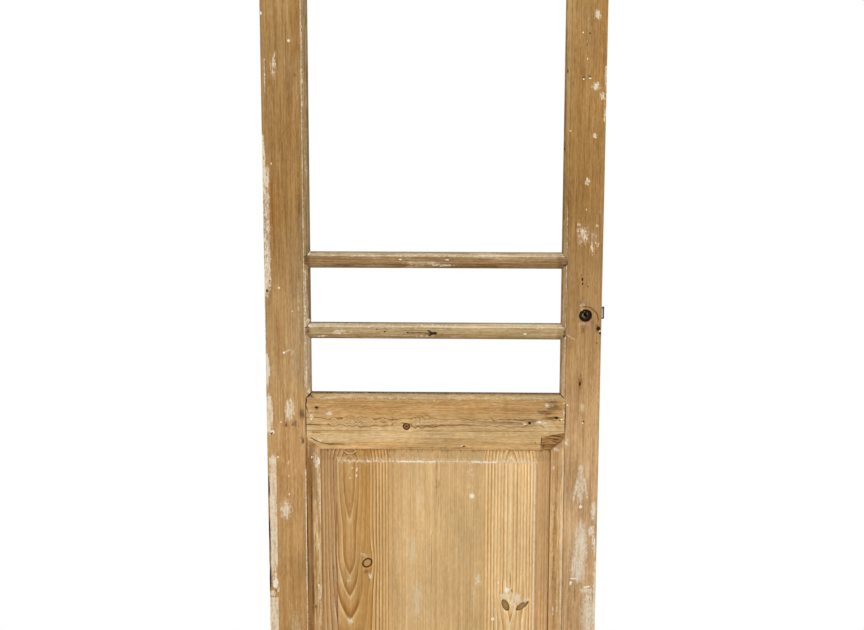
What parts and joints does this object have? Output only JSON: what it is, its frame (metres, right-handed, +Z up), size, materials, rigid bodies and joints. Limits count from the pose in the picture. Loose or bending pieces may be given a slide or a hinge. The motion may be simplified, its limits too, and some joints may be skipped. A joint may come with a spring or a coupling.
{
  "type": "part-glazed panelled door leaf",
  "caption": "Stripped pine door leaf with open lights and glazing bars above, a raised and fielded panel below and a mortice latch.",
  "frame": {"origin": "on the hinge edge, at the bottom of the leaf and in the middle of its thickness", "axes": "+X from the hinge edge to the lock edge, +Y from the front face to the back face, +Z up"},
  "size_m": [0.77, 0.04, 1.981],
  "materials": {
    "stile_pine": "bare stripped pine, matt",
    "rail_pine": "bare stripped pine, matt",
    "panel_pine": "bare stripped pine, matt",
    "patch_wood": "dark repair wood, matt",
    "wedge_wood": "end grain, matt",
    "black_iron": "rough, dark",
    "dull_steel": "tarnished",
    "bright_steel": "worn bright"
  },
  "bodies": {
    "door_leaf": {"hinge_stile": "stile_pine", "lock_stile": "stile_pine", "top_rail": "rail_pine", "upper_glazing_bar": "rail_pine", "lower_glazing_bar": "rail_pine", "lock_rail": "rail_pine", "lock_rail_patch": "patch_wood", "bottom_rail": "rail_pine", "panel_board_hinge_side": "panel_pine", "panel_board_middle_left": "panel_pine", "panel_board_middle_right": "panel_pine", "panel_board_lock_side": "panel_pine", "bottom_rail_wedges_hinge_side": "wedge_wood", "lock_rail_wedges_hinge_side": "wedge_wood", "top_rail_wedges_hinge_side": "wedge_wood", "bottom_rail_wedges_lock_side": "wedge_wood", "lock_rail_wedges_lock_side": "wedge_wood", "top_rail_wedges_lock_side": "wedge_wood", "latch_case": "black_iron", "latch_case_cover": "black_iron", "forend_plate": "dull_steel", "forend_screws": "dull_steel"},
    "bolt": {"latch_bolt": "bright_steel"},
    "follower": {"latch_follower": "black_iron"}
  },
  "joints": [
    {"name": "latch_slide", "type": "slide", "parent": "door_leaf", "child": "bolt", "axis": [-1, 0, 0], "range_m": [0, 0.008], "stiffness_N_per_m": 400, "springref_m": -0.01},
    {"name": "follower_turn", "type": "hinge", "parent": "door_leaf", "child": "follower", "pos_m": [0.726, 0, 1], "axis": [0, -1, 0], "range_deg": [0, 38.5]}
  ],
  "couplings": [
    {"joint": "follower_turn", "follows": "latch_slide", "rad_per_m": 83.333}
  ]
}
